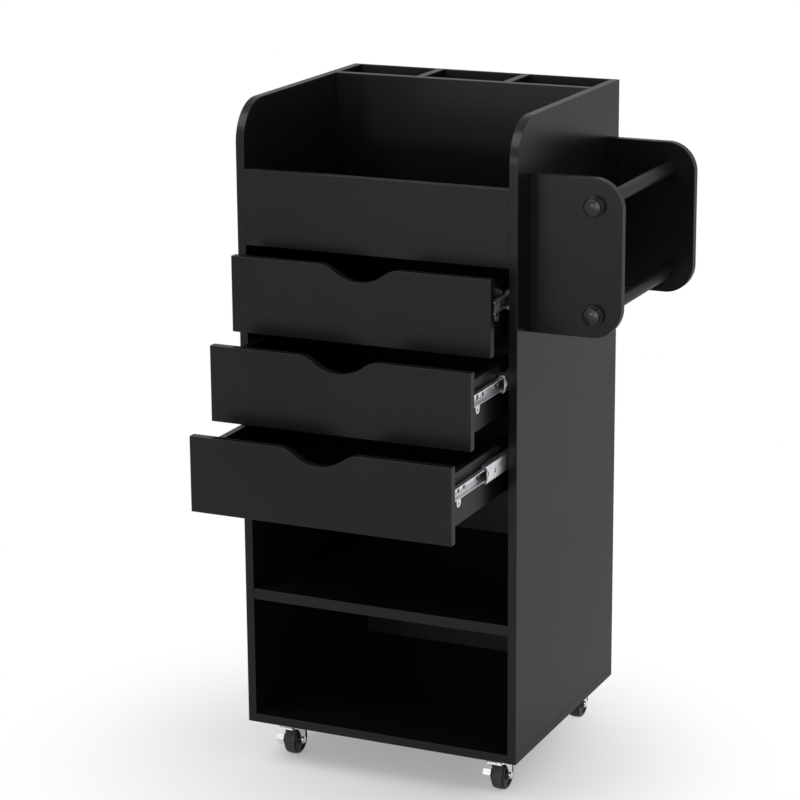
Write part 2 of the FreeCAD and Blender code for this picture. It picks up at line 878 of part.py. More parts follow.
def make_casters():
    plates, kingpins, screws = [], [], []
    for name, (x, y) in casters.items():
        plates.append(make_caster_plate(x, y))
        kingpins.append(make_kingpin(x, y))
        screws += [make_screw(x + i, y + j) for i, j in screw_offsets]
        braked = name.startswith("front")
        make_fork(name + "_fork", x, y)
        left_extra = s.brake_sheet + 2 * s.face_clearance if braked else ZERO
        make_axle(name + "_axle", x, y, left_extra)
        make_wheel(name + "_wheel", x, y)
        if braked:
            make_brake(name + "_brake", x, y)
    node(group("caster_plates", plates), "caster_plates")
    node(group("caster_kingpins", kingpins), "caster_kingpins")
    node(group("caster_screws", screws), "caster_screws")


make_carcass()
make_tray()
make_holder()
make_drawers()
make_casters()
doc.recompute()

for thing in doc.Objects:
    if {"Invalid", "Error"} & set(thing.State):
        raise RuntimeError("failed: " + thing.Label)
for thing in parts:
    if thing.Shape.isNull() or not thing.Shape.isValid() or not thing.Shape.Solids:
        raise RuntimeError("bad shape: " + thing.Label)

os.makedirs("parts", exist_ok=True)
for thing in parts:
    thing.Shape.exportStep("parts/%s.step" % thing.Label)
    print("%-28s %d solids" % (thing.Label, len(thing.Shape.Solids)))
print(len(parts), "nodes")
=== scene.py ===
import json

import bmesh
import bpy
import numpy as np
from mathutils import Matrix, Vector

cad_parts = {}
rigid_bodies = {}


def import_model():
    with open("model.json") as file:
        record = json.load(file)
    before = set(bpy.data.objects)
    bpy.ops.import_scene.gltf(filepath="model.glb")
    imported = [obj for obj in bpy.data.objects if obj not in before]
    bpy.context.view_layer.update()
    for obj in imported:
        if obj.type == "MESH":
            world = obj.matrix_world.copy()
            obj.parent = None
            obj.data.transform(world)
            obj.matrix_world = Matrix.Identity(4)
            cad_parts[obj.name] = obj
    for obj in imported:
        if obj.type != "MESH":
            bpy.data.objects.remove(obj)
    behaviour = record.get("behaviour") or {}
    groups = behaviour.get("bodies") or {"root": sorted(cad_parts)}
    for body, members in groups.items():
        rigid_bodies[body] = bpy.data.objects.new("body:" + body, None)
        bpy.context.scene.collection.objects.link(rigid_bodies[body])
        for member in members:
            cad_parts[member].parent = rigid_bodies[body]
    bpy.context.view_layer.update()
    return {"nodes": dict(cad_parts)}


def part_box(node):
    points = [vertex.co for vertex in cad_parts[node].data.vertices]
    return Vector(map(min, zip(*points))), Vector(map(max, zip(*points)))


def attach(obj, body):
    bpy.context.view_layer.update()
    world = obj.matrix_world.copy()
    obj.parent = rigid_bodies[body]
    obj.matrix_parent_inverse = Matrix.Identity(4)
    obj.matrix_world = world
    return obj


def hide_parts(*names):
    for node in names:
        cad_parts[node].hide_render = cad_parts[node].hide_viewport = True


for spare in list(bpy.data.objects):
    bpy.data.objects.remove(spare)
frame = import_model()
nodes = frame["nodes"]
mm = 0.001


class Wire:  # one socket of a node tree, written in sums as if it were a number
    def __init__(self, tree, socket=None):
        self.tree = tree
        self.socket = socket

    # any node: its settings go in first, then the values or wires of its sockets
    def node(self, kind, settings=None, sockets=None, output=0):
        made = self.tree.nodes.new(kind)
        for name, value in (settings or {}).items():
            setattr(made, name, value)
        for name, value in (sockets or {}).items():
            socket = findSocket(made.inputs, name)
            if isinstance(value, Wire):
                self.tree.links.new(value.socket, socket)
            else:
                socket.default_value = value
        return Wire(self.tree, findSocket(made.outputs, output) if made.outputs else None)

    def maths(self, operation, *terms):
        return self.node("ShaderNodeMath", {"operation": operation}, dict(enumerate(terms)))

    def __add__(self, other):
        return self.maths("ADD", self, other)

    def __radd__(self, other):
        return self.maths("ADD", other, self)

    def __sub__(self, other):
        return self.maths("SUBTRACT", self, other)

    def __rsub__(self, other):
        return self.maths("SUBTRACT", other, self)

    def __mul__(self, other):
        return self.maths("MULTIPLY", self, other)

    def __rmul__(self, other):
        return self.maths("MULTIPLY", other, self)

    def __pow__(self, other):
        return self.maths("POWER", self, other)

    def __abs__(self):
        return self.maths("ABSOLUTE", self)

    # 0 below low, 1 above high, smooth between
    def step(self, low, high):
        return self.node("ShaderNodeMapRange", {"interpolation_type": "SMOOTHSTEP"},
                         {"Value": self, "From Min": low, "From Max": high})

    # this wire is the place; size is the width of one blotch in metres
    def blotch(self, size, detail=2.0, rough=0.5):
        return self.node("ShaderNodeTexNoise", {},
                         {"Vector": self, "Scale": 1 / size, "Detail": detail, "Roughness": rough})

    def stretched(self, x, y, z):
        return self.node("ShaderNodeMapping", {}, {"Vector": self, "Scale": (x, y, z)})

    def centred(self, point):
        return self.node("ShaderNodeMapping", {}, {"Vector": self, "Location": [-c for c in point]})

    def axis(self, letter):
        return self.node("ShaderNodeSeparateXYZ", {}, {"Vector": self}, letter)

    def blend(self, first, second):  # this wire is the share of the second colour
        return self.node("ShaderNodeMix", {"data_type": "RGBA"},
                         {"Factor_Float": self, "A_Color": first, "B_Color": second}, "Result_Color")

    def sway(self, amount):  # noise about its middle, as wide as amount
        return (self - 0.5) * amount

    def bump(self, depth):  # this wire is the height, 0 to 1, and depth is in metres
        return self.node("ShaderNodeBump", {}, {"Height": self, "Distance": depth, "Strength": 1.0})


def findSocket(sockets, name):
    if isinstance(name, int):
        return sockets[name]
    return next(s for s in sockets if name in (s.identifier, s.name))


def startFinish(name):
    material = bpy.data.materials.new(name)
    material.use_nodes = True
    material.node_tree.nodes.clear()
    root = Wire(material.node_tree)
    return material, root.node("ShaderNodeTexCoord", output="Object")


def closeFinish(place, sockets):
    shader = place.node("ShaderNodeBsdfPrincipled", {}, sockets)
    place.node("ShaderNodeOutputMaterial", {}, {"Surface": shader})


def grey(value, warm=0.0):
    return (value * (1 + warm), value, value * (1 - warm), 1.0)


# Black boards: a fine pearl on the faces under a thin satin film, smoother glued band on the edges.
board = {"face": 0.0034, "faceLight": 0.0046, "band": 0.004, "roughness": 0.5, "bandRoughness": 0.4,
         "roughCloud": 0.08, "roughSmudge": 0.04, "roughPearl": 0.05, "film": 0.42, "filmRoughness": 0.28,
         "filmCloud": 0.03, "filmSmudge": 0.02, "filmPearl": 0.06, "pearl": 0.9 * mm,
         "pearlDepth": 0.012 * mm, "cloud": 160 * mm, "ripple": 4 * mm, "rippleShare": 0.5}


def boardFinish(thin):
    material, place = startFinish("blackBoardAcross" + thin)
    facing = place.node("ShaderNodeTexCoord", output="Normal").axis(thin)
    band = 1 - abs(facing).step(0.6, 0.8)
    cloud = place.blotch(board["cloud"], 3.0)
    pearl = place.blotch(board["pearl"], 3.0, 0.6)
    smudge = place.blotch(board["cloud"] / 3, 4.0, 0.6).step(0.45, 0.8)
    face = cloud.step(0.3, 0.7).blend(grey(board["face"]), grey(board["faceLight"]))
    colour = band.blend(face, grey(board["band"]))
    rough = board["roughness"] + cloud.sway(board["roughCloud"]) + smudge * board["roughSmudge"]
    rough = rough + pearl.sway(board["roughPearl"])
    rough = rough + band * (board["bandRoughness"] - board["roughness"])
    height = pearl * (1 - band) + band * place.blotch(board["ripple"], 1.0) * board["rippleShare"]
    film = board["film"] + cloud.sway(board["filmCloud"]) - smudge * board["filmSmudge"]
    film = film + pearl.sway(board["filmPearl"])
    closeFinish(place, {"Base Color": colour, "Roughness": rough, "Specular IOR Level": 0.0,
                        "Normal": height.bump(board["pearlDepth"]), "Coat Weight": film,
                        "Coat Roughness": board["filmRoughness"]})
    return material


# Thin sheet of the back and the drawer bottoms: pressed fibre under a coat of black.
sheet = {"dark": 0.003, "light": 0.005, "roughness": 0.45, "roughFibre": 0.12, "roughCloud": 0.1,
         "level": 0.3, "fibre": 1.6 * mm, "fibreDepth": 0.02 * mm, "fibreStretch": (1.0, 1.0, 0.35),
         "cloud": 120 * mm}


def sheetFinish():
    material, place = startFinish("blackSheet")
    fibre = place.stretched(*sheet["fibreStretch"]).blotch(sheet["fibre"], 4.0, 0.65)
    cloud = place.blotch(sheet["cloud"], 3.0)
    colour = cloud.step(0.3, 0.7).blend(grey(sheet["dark"]), grey(sheet["light"]))
    rough = sheet["roughness"] + fibre.sway(sheet["roughFibre"]) + cloud.sway(sheet["roughCloud"])
    closeFinish(place, {"Base Color": colour, "Roughness": rough, "Specular IOR Level": sheet["level"],
                        "Normal": fibre.bump(sheet["fibreDepth"])})
    return material


# Turned rods under black lacquer: the grain along the rod still shows in the gloss.
lacquer = {"dark": 0.004, "light": 0.008, "roughness": 0.5, "roughGrain": 0.15, "roughCloud": 0.08,
           "film": 0.4, "filmRoughness": 0.36, "filmGrain": 0.12, "grain": 1.2 * mm,
           "grainDepth": 0.03 * mm, "grainStretch": (1.0, 0.04, 1.0), "cloud": 40 * mm}


def rodFinish():
    material, place = startFinish("blackLacquer")
    grain = place.stretched(*lacquer["grainStretch"]).blotch(lacquer["grain"], 3.0, 0.6)
    cloud = place.blotch(lacquer["cloud"], 3.0)
    colour = grain.step(0.35, 0.65).blend(grey(lacquer["dark"]), grey(lacquer["light"]))
    rough = lacquer["roughness"] + grain.sway(lacquer["roughGrain"]) + cloud.sway(lacquer["roughCloud"])
    film = lacquer["film"] + grain.sway(lacquer["filmGrain"])
    closeFinish(place, {"Base Color": colour, "Roughness": rough, "Specular IOR Level": 0.0,
                        "Normal": grain.bump(lacquer["grainDepth"]), "Coat Weight": film,
                        "Coat Roughness": lacquer["filmRoughness"]})
    return material


# Moulded knobs and covers: spark-eroded mould texture under a smooth skin.
moulded = {"dark": 0.004, "light": 0.009, "roughness": 0.34, "roughSpark": 0.25, "roughCloud": 0.08,
           "level": 0.25, "skin": 0.15, "skinRoughness": 0.1, "spark": 0.55 * mm, "sparkDepth": 0.03 * mm,
           "cloud": 9 * mm}


def knobFinish():
    material, place = startFinish("blackMoulded")
    spark = place.blotch(moulded["spark"], 2.0, 0.7)
    cloud = place.blotch(moulded["cloud"], 2.0)
    colour = spark.step(0.4, 0.7).blend(grey(moulded["dark"]), grey(moulded["light"]))
    rough = moulded["roughness"] + spark.sway(moulded["roughSpark"]) + cloud.sway(moulded["roughCloud"])
    closeFinish(place, {"Base Color": colour, "Roughness": rough, "Specular IOR Level": moulded["level"],
                        "Normal": spark.bump(moulded["sparkDepth"]), "Coat Weight": moulded["skin"],
                        "Coat Roughness": moulded["skinRoughness"]})
    return material


# Bright zinc on rolled strip: rolling lines along the strip and a faint grey bloom; the cages are darker.
zinc = {"bright": (0.74, 0.75, 0.77), "bloom": (0.5, 0.52, 0.55), "roughness": 0.3, "roughLine": 0.12,
        "roughBloom": 0.1, "bloomShare": 0.5, "lineShare": 0.15, "line": 0.8 * mm, "lineDepth": 0.002 * mm,
        "lineStretch": (1.0, 0.012, 1.0), "bloomSize": 11 * mm, "cageTone": 0.75}


def zincFinish(name, tone):
    material, place = startFinish(name)
    lines = place.stretched(*zinc["lineStretch"]).blotch(zinc["line"], 3.0, 0.6)
    bloom = place.blotch(zinc["bloomSize"], 4.0, 0.6).step(0.4, 0.75)
    bright = [tone * c for c in zinc["bright"]] + [1.0]
    dull = [tone * c for c in zinc["bloom"]] + [1.0]
    colour = (bloom * zinc["bloomShare"] + lines.sway(zinc["lineShare"])).blend(bright, dull)
    rough = zinc["roughness"] + lines.sway(zinc["roughLine"]) + bloom * zinc["roughBloom"]
    closeFinish(place, {"Base Color": colour, "Metallic": 1.0, "Roughness": rough,
                        "Normal": lines.bump(zinc["lineDepth"])})
    return material


# Plated pressings of the casters: soft spangle and handling marks.
plated = {"bright": (0.88, 0.89, 0.91, 1.0), "dull": (0.74, 0.76, 0.79, 1.0), "roughness": 0.18,
          "roughSpangle": 0.16, "roughMarks": 0.14, "spangle": 3.5 * mm, "marks": 0.7 * mm,
          "marksStretch": (1.0, 1.0, 0.15), "marksShare": 0.4, "depth": 0.02 * mm}


def platedFinish():
    material, place = startFinish("brightPlate")
    spangle = place.blotch(plated["spangle"], 3.0, 0.55)
    marks = place.stretched(*plated["marksStretch"]).blotch(plated["marks"], 3.0, 0.6)
    colour = spangle.step(0.35, 0.75).blend(plated["bright"], plated["dull"])
    rough = plated["roughness"] + spangle.sway(plated["roughSpangle"]) + marks.sway(plated["roughMarks"])
    closeFinish(place, {"Base Color": colour, "Metallic": 1.0, "Roughness": rough,
                        "Normal": (spangle + marks * plated["marksShare"]).bump(plated["depth"])})
    return material


# Wheels: soft tread, dusty where it rolls, and smoother moulded sides.
tyre = {"tread": 0.03, "dust": 0.055, "dustWarmth": 0.03, "side": 0.003, "treadRoughness": 0.55,
        "sideRoughness": 0.3, "roughGrain": 0.1, "level": 0.2, "shoulder": 2.6 * mm, "shoulderFade": 1.2 * mm,
        "dustSize": 5 * mm, "grain": 0.5 * mm, "grainDepth": 0.02 * mm}


def wheelFinish(name, lo, hi):
    material, place = startFinish(name)
    middle = [(a + b) / 2 for a, b in zip(lo, hi)]
    radius = (hi[2] - lo[2]) / 2
    local = place.centred(middle)
    reach = (local.axis("Y") ** 2 + local.axis("Z") ** 2) ** 0.5
    flat = (hi[0] - lo[0]) / 2 - tyre["shoulder"]
    outer = reach.step(0.9 * radius, 0.97 * radius)
    tread = outer * (1 - abs(local.axis("X")).step(flat, flat + tyre["shoulderFade"]))
    dust = place.blotch(tyre["dustSize"], 4.0, 0.65).step(0.45, 0.8)
    grain = place.blotch(tyre["grain"], 2.0, 0.6)
    worn = (tread * dust).blend(grey(tyre["tread"]), grey(tyre["dust"], tyre["dustWarmth"]))
    colour = tread.blend(grey(tyre["side"]), worn)
    rough = tyre["sideRoughness"] + tread * (tyre["treadRoughness"] - tyre["sideRoughness"])
    rough = rough + grain.sway(tyre["roughGrain"])
    closeFinish(place, {"Base Color": colour, "Roughness": rough, "Specular IOR Level": tyre["level"],
                        "Normal": grain.bump(tyre["grainDepth"])})
    return material


def dress(names, material):
    for name in names:
        slots = nodes[name].data.materials
        slots.clear()
        slots.append(material)


def slotNodes(slot):
    return [n for n, o in nodes.items() if o.data.materials and o.data.materials[0].name == slot]


def thinAxis(name):
    lo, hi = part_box(name)
    return "XYZ"[int(np.argmin(np.subtract(hi, lo)))]


boardNames = slotNodes("black_board")
for letter in "XYZ":
    dress([n for n in boardNames if thinAxis(n) == letter], boardFinish(letter))
dress(slotNodes("black_hardboard"), sheetFinish())
rodNames = slotNodes("black_rod")
rodBlack = rodFinish()
dress(rodNames, rodBlack)
knobBlack = knobFinish()
dress(slotNodes("black_knob"), knobBlack)
stripZinc = zincFinish("brightZinc", 1.0)
dress(slotNodes("zinc_steel"), stripZinc)
# the cages: the strip zinc at a darker tone
dress(slotNodes("cage_steel"), zincFinish("darkerCageZinc", zinc["cageTone"]))
forkPlate = platedFinish()
dress(slotNodes("plated_steel"), forkPlate)
wheelNames = slotNodes("black_wheel")
wheelBlack = {name: wheelFinish(name + "Finish", *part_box(name)) for name in wheelNames}
print("finishes:", len(bpy.data.materials))


# Pieces are grids of points, rows by columns, joined into quads; a way that closes wraps round.
def gridFaces(rows, columns, closeColumns=False):
    row, column = np.meshgrid(np.arange(rows - 1), np.arange(columns - (not closeColumns)), indexing="ij")
    after = (column + 1) % columns
    corners = (row, column), (row + 1, column), (row + 1, after), (row, after)
    return np.stack([r * columns + c for r, c in corners], axis=-1).reshape(-1, 4)


def joinParts(parts):
    starts = np.cumsum([0] + [len(points) for points, faces in parts])
    points = np.concatenate([points for points, faces in parts])
    return points, np.concatenate([faces + start for (points, faces), start in zip(parts, starts)])


making = {"seamGap": 0.001 * mm, "edgeSteps": 2, "edgeAngle": 40}


def makePiece(name, parts, body, material, stand, sheet=0.0, edge=0.0):
    points, faces = joinParts(parts)
    mesh = bpy.data.meshes.new(name)
    mesh.from_pydata(points.tolist(), [], faces.tolist())
    seam = bmesh.new()
    seam.from_mesh(mesh)
    bmesh.ops.remove_doubles(seam, verts=seam.verts, dist=making["seamGap"])
    bmesh.ops.delete(seam, geom=[v for v in seam.verts if not v.link_faces], context="VERTS")
    bmesh.ops.recalc_face_normals(seam, faces=seam.faces)
    seam.to_mesh(mesh)
    seam.free()
    mesh.shade_smooth()
    mesh.materials.append(material)
    piece = bpy.data.objects.new(name, mesh)
    bpy.context.scene.collection.objects.link(piece)
    if sheet:
        solid = piece.modifiers.new("sheet", "SOLIDIFY")
        solid.thickness = sheet
        solid.offset = 0.0
        solid.use_even_offset = True
    if edge:
        ease = piece.modifiers.new("edge", "BEVEL")
        ease.width = edge
        ease.segments = making["edgeSteps"]
        ease.limit_method = "ANGLE"
        ease.angle_limit = np.radians(making["edgeAngle"])
        ease.harden_normals = True
    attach(piece, body)
    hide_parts(*stand)


# A turned piece: the section's (along, radius) points carried round the axis through a full circle.
def lathe(section, centre, axis, flip=1.0, steps=64):
    along, radius = np.array(section).T
    angle = np.arange(steps) * 2 * np.pi / steps
    out = radius[:, None] * np.cos(angle), radius[:, None] * np.sin(angle)
    points = np.zeros((len(along), steps, 3))
    points[..., axis] = flip * along[:, None]
    points[..., (axis + 1) % 3] = out[0]
    points[..., (axis + 2) % 3] = out[1]
    return (points + centre).reshape(-1, 3), gridFaces(len(along), steps, True)


# Quarter of an ellipse from a to b, bulging to the knee between them.
def corner(a, knee, b, steps=6):
    turn = np.linspace(0, np.pi / 2, steps + 1)[:, None]
    a, knee, b = np.array(a), np.array(knee), np.array(b)
    return list(map(tuple, a + b - knee + (knee - b) * np.cos(turn) + (knee - a) * np.sin(turn)))


def boxMiddle(name):
    return np.mean(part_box(name), axis=0)


# Knobs: flange, neck, a cup and in it a cap with a rolled edge and a low dome, whose height falls as the
# radius squared.
knob = {"flange": 13.6 * mm, "flangeHeight": 5.0 * mm, "neck": 12.0 * mm, "head": 13.0 * mm,
        "headFrom": 6.2 * mm, "cup": 10.4 * mm, "cupWall": 0.7 * mm, "groove": 7.6 * mm, "cap": 11.2 * mm,
        "rim": 10.8 * mm, "roll": 1.2 * mm, "rollSteps": 10, "top": 12.5 * mm, "domeSteps": 13,
        "stud": 3.0 * mm, "studLength": 30 * mm, "ease": 0.6 * mm}


def knobSection():
    k = knob
    inner, cupInner = k["cap"] - k["roll"], k["head"] - k["cupWall"]
    section = [(-k["studLength"], 0.0), (-k["studLength"], k["stud"]), (0.0, k["stud"]), (0.0, k["flange"])]
    section += corner((k["flangeHeight"] - k["ease"], k["flange"]), (k["flangeHeight"], k["flange"]),
                      (k["flangeHeight"], k["flange"] - k["ease"]))
    section += [(k["flangeHeight"], k["neck"]), (k["headFrom"], k["neck"])]
    section += corner((k["headFrom"], k["head"] - k["ease"]), (k["headFrom"], k["head"]),
                      (k["headFrom"] + k["ease"], k["head"]))
    section += corner((k["cup"] - k["cupWall"], k["head"]), (k["cup"], k["head"]), (k["cup"], cupInner))
    section += [(k["groove"], cupInner), (k["groove"], k["cap"])]
    section += corner((k["rim"] - k["roll"], k["cap"]), (k["rim"], k["cap"]), (k["rim"], inner),
                      k["rollSteps"])
    share = np.linspace(1, 0, k["domeSteps"] + 1)[1:]
    return section + [(k["rim"] + (k["top"] - k["rim"]) * (1 - s * s), inner * s) for s in share]


def makeKnobs():
    frontFace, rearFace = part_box("holder_front_plate")[0][1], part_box("holder_rear_plate")[1][1]
    parts = []
    for rodName in rodNames:
        x, z = boxMiddle(rodName)[[0, 2]]
        parts.append(lathe(knobSection(), (x, frontFace, z), 1, -1.0))
        parts.append(lathe(knobSection(), (x, rearFace, z), 1))
    makePiece("turnedKnobs", parts, "carcass", knobBlack, ["holder_knobs"])


makeKnobs()
print("knobs:", 2 * len(rodNames))


# Rods: turned, a little fuller under the lacquer, with eased ends.
rod = {"radius": 9.5 * mm, "ease": 0.5 * mm}


def makeRods():
    radius, ease = rod["radius"], rod["ease"]
    for name in rodNames:
        lo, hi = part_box(name)
        half = (hi[1] - lo[1]) / 2
        end = corner((half - ease, radius), (half, radius), (half, radius - ease)) + [(half, 0.0)]
        section = [(-a, r) for a, r in reversed(end)] + end
        parts = [lathe(section, boxMiddle(name), 1)]
        makePiece(name + "_turned", parts, "carcass", rodBlack, [name])


makeRods()
print("rods:", len(rodNames))


# Wheels: crowned tread between rolled shoulders, a raised rim, a dished side and a hub.
wheel = {"crown": 0.5 * mm, "shoulder": 3.6 * mm, "rim": 14.4 * mm, "rimEase": 0.7 * mm, "dish": 1.6 * mm,
         "hub": 7.5 * mm, "bore": 3.06 * mm, "groove": 0.5 * mm, "grooveRadius": 16.0 * mm,
         "shoulderSteps": 10, "treadSteps": 10, "turnSteps": 96}


def wheelSide(half, radius):  # from the bore out to the tread, on the side where along is positive
    w = wheel
    dish = half - w["dish"]
    side = [(half - w["rimEase"], w["bore"]), (half, w["bore"] + w["rimEase"])]
    side += corner((half, w["hub"] - w["rimEase"]), (half, w["hub"]), (half - w["rimEase"], w["hub"]))
    side += corner((dish + w["rimEase"], w["hub"]), (dish, w["hub"]), (dish, w["hub"] + w["rimEase"]))
    side += corner((dish, w["rim"] - w["rimEase"]), (dish, w["rim"]), (dish + w["rimEase"], w["rim"]))
    side += corner((half - w["rimEase"], w["rim"]), (half, w["rim"]), (half, w["rim"] + w["rimEase"]))
    groove = w["grooveRadius"]
    side += [(half, groove - w["groove"]), (half - w["groove"], groove), (half, groove + w["groove"])]
    edge = radius - w["crown"]
    return side + corner((half, edge - w["shoulder"]), (half, edge), (half - w["shoulder"], edge),
                         w["shoulderSteps"])


def makeWheels():
    for name in wheelNames:
        lo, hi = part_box(name)
        half, radius = (hi[0] - lo[0]) / 2, (hi[2] - lo[2]) / 2
        side = wheelSide(half, radius)
        flat = half - wheel["shoulder"]
        share = np.linspace(1, -1, wheel["treadSteps"] + 1)[1:-1]
        tread = [(flat * s, radius - wheel["crown"] * s * s) for s in share]
        section = side + tread + [(-a, r) for a, r in reversed(side)] + side[:1]
        parts = [lathe(section, boxMiddle(name), 0, steps=wheel["turnSteps"])]
        caster = name[:-len("_wheel")]
        makePiece(caster + "_tyre", parts, caster + "_roller", wheelBlack[name], [name])


makeWheels()
print("wheels:", len(wheelNames))


# Forks: the sheet's U from leg to crown to leg, each row swept from its front edge to its rear edge;
# the crown's front edge folds down to one level.
fork = {"sheet": 2.0 * mm, "corner": 6.0 * mm, "shoulder": 3.8 * mm, "boss": 5.5 * mm, "edge": 0.35 * mm,
        "lip": 2.8 * mm, "lipFold": 0.05, "footStart": 0.02, "bossSteps": 8, "legSteps": 23, "bendSteps": 28,
        "crownSteps": 7, "depthSteps": 14}


def forkRows(lo, hi):  # (across, height) of every row, left foot over the crown to the right foot
    half = (hi[0] - lo[0]) / 2 - fork["sheet"] / 2
    top, turn = hi[2] - fork["sheet"] / 2, fork["corner"] - fork["sheet"] / 2
    foot, axle = lo[2] + fork["footStart"] * fork["boss"], lo[2] + fork["boss"]
    swing = np.linspace(np.arcsin((axle - foot) / fork["boss"]), 0, fork["bossSteps"] + 1)
    upward = np.linspace(axle, top - turn, fork["legSteps"] + 1)[1:]
    heights = np.concatenate([axle - fork["boss"] * np.sin(swing), upward])
    bend = corner((-half, top - turn), (-half, top), (turn - half, top), fork["bendSteps"])[1:]
    leg = [(-half, z) for z in heights] + bend
    middle = [(x, top) for x in np.linspace(turn - half, half - turn, fork["crownSteps"] + 1)[1:-1]]
    return np.array(leg + middle + [(-x, z) for x, z in reversed(leg)])


def forkEdges(lo, hi, height):  # front edge: boss circle, then a quarter ellipse out to the shoulder
    axleY, axleZ = hi[1] - fork["boss"], lo[2] + fork["boss"]
    tip, shoulder = axleY - fork["boss"], hi[2] - fork["shoulder"]
    below = np.sqrt(np.clip(fork["boss"] ** 2 - (axleZ - height) ** 2, 0, None))
    rise = np.clip((height - axleZ) / (shoulder - axleZ), 0, 1)
    hollow = tip - (tip - lo[1]) * (1 - np.sqrt(1 - rise ** 2))
    front = np.where(height < axleZ, axleY - below, hollow)
    return front, np.where(height < axleZ, axleY + below, hi[1])


forkNames = [n for n in nodes if n.endswith("_fork")]


def makeForks():
    for name in forkNames:
        lo, hi = np.array(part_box(name))
        rows = forkRows(lo, hi)
        front, rear = forkEdges(lo, hi, rows[:, 1])
        # share of the depth from the front edge, and share of the fall there
        fold = [(0, 1), (0, 0.75)] + corner((0, 0.5), (0, 0), (fork["lipFold"], 0))
        level = [(s, 0) for s in np.linspace(fork["lipFold"], 1, fork["depthSteps"] + 1)[1:]]
        share, fall = np.array(fold + level).T
        drop = np.clip(rows[:, 1:] - hi[2] + fork["sheet"] / 2 + fork["lip"], 0, None)
        points = np.stack([(lo[0] + hi[0]) / 2 + rows[:, :1] + 0 * share,
                           front[:, None] + (rear - front)[:, None] * share,
                           rows[:, 1:] - fall * drop], axis=-1)
        parts = [(points.reshape(-1, 3), gridFaces(len(rows), share.size))]
        caster = name[:-len("_fork")]
        makePiece(caster + "_pressedFork", parts, caster + "_swivel", forkPlate, [name],
                  fork["sheet"], fork["edge"])


makeForks()
print("forks:", len(forkNames))


# Brakes: the arm's outline is the hull of discs, so along each direction it reaches the least of support
# over cosine; the tongue is a tread and a lip with a rounded knee, swept sideways. Points are (backward,
# height) from the axle in millimetres.
brake = {"sheet": 1.5 * mm, "bore": 3.06 * mm, "edge": 0.3 * mm, "width": 11.4 * mm, "inward": 3.2 * mm,
         "taper": 0.25, "taperPower": 6, "armSteps": 72, "ringSteps": 5, "treadSteps": 8, "kneeSteps": 8,
         "discs": [(0.0, 0.0, 7.0), (-13.2, 8.0, 1.6), (-16.4, 3.0, 1.6), (-14.4, -1.0, 1.6)],
         "tongue": [(-15.0, 10.6), (-18.0, 4.6), (-18.8, 3.0), (-17.8, 1.4), (-12.2, -6.4)]}


def armPart(x, y, z):
    angle = np.arange(brake["armSteps"]) * 2 * np.pi / brake["armSteps"]
    way = np.stack([np.cos(angle), np.sin(angle)], axis=-1)
    discs = np.array(brake["discs"]) * mm
    support = (discs[:, :2] @ way.T + discs[:, 2:]).max(axis=0)
    facing = np.clip(way @ way.T, 0.001, None)
    outline = way * (support[None, :] / facing).min(axis=1)[:, None]
    share = np.linspace(0, 1, brake["ringSteps"] + 1)
    rows = np.stack([outline + (way * brake["bore"] - outline) * s for s in share])
    points = np.zeros((*rows.shape[:2], 3))
    points[..., 0], points[..., 1], points[..., 2] = x, y + rows[..., 0], z + rows[..., 1]
    return points.reshape(-1, 3), gridFaces(len(rows), len(angle), True)


def tonguePart(x, y, z):
    head, above, knee, below, foot = np.array(brake["tongue"]) * mm
    straight = np.linspace(0, 1, brake["treadSteps"] + 1)[:, None]
    curve = np.concatenate([head + (above - head) * straight[:-1],
                            corner(above, knee, below, brake["kneeSteps"]),
                            below + (foot - below) * straight[1:]])
    down = np.linspace(0, 1, len(curve))[:, None]
    across = straight.T - 0.5
    points = np.zeros((len(curve), across.size, 3))
    narrowing = 1 - brake["taper"] * down ** brake["taperPower"]
    points[..., 0] = x + brake["inward"] - brake["width"] * (0.5 + across * narrowing)
    points[..., 1], points[..., 2] = y + curve[:, :1], z + curve[:, 1:]
    return points.reshape(-1, 3), gridFaces(len(curve), across.size)


brakeNames = [n for n in nodes if n.endswith("_brake")]


def makeBrakes():
    for name in brakeNames:
        caster = name[:-len("_brake")]
        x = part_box(name)[1][0] - brake["sheet"] / 2
        y, z = boxMiddle(caster + "_wheel")[1:]
        parts = [armPart(x, y, z), tonguePart(x, y, z)]
        makePiece(caster + "_footPedal", parts, caster + "_pedal", forkPlate, [name],
                  brake["sheet"], brake["edge"])


makeBrakes()
print("brakes:", len(brakeNames))


